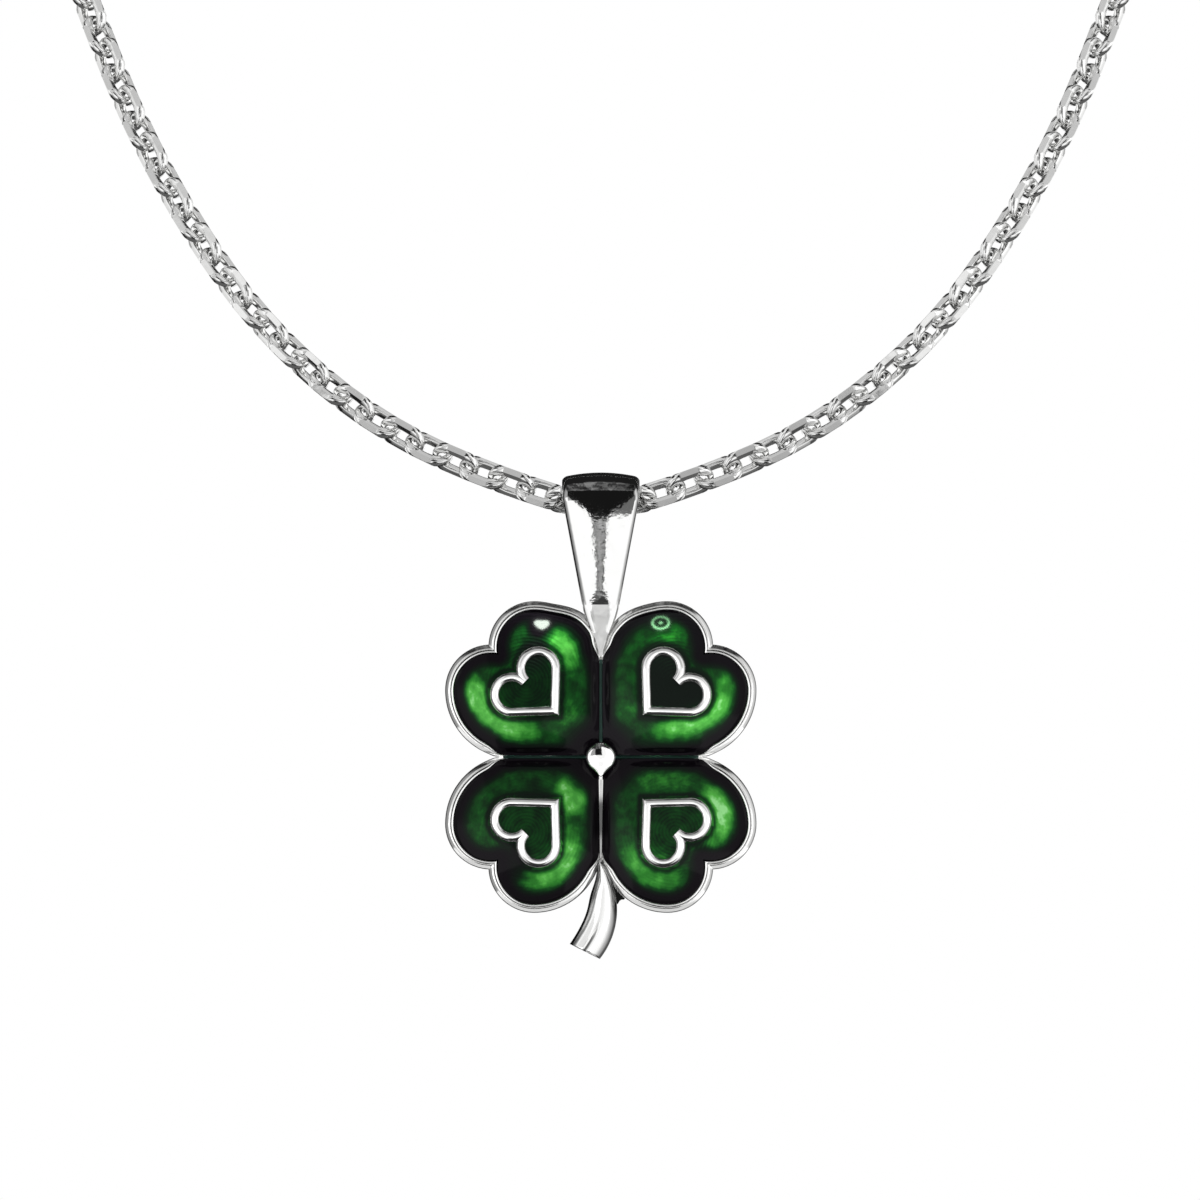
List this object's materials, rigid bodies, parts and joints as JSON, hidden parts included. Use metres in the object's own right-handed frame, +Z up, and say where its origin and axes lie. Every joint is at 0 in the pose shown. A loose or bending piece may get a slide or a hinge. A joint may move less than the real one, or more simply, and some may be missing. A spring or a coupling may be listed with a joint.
{
  "type": "clover pendant",
  "caption": "Four-leaf clover pendant with green enamel leaves and a leaning stem, hanging by a tapered bail from a flat-sided cable chain necklace with a barrel clasp.",
  "frame": {"origin": "middle of the clasp at the nape, where the chain rests on the neck", "axes": "+Z up, with the pendant hanging below; the pendant's enamelled face and the wearer's front look along -Y; +X is the viewer's right when seen from the front"},
  "size_m": [0.1084, 0.1067, 0.1786],
  "materials": {
    "silver": "polished",
    "enamel": "glossy translucent"
  },
  "bodies": {
    "chain": {"chain": "silver", "clasp": "silver"},
    "pendant": {"clover_frame": "silver", "enamel_upper_left": "enamel", "enamel_upper_right": "enamel", "enamel_lower_left": "enamel", "enamel_lower_right": "enamel"}
  },
  "joints": [
    {"name": "pendant_swing", "type": "hinge", "parent": "chain", "child": "pendant", "pos_m": [0, -0.10334, -0.14759], "axis": [1, 0, 0], "range_deg": [-90, 90]}
  ]
}
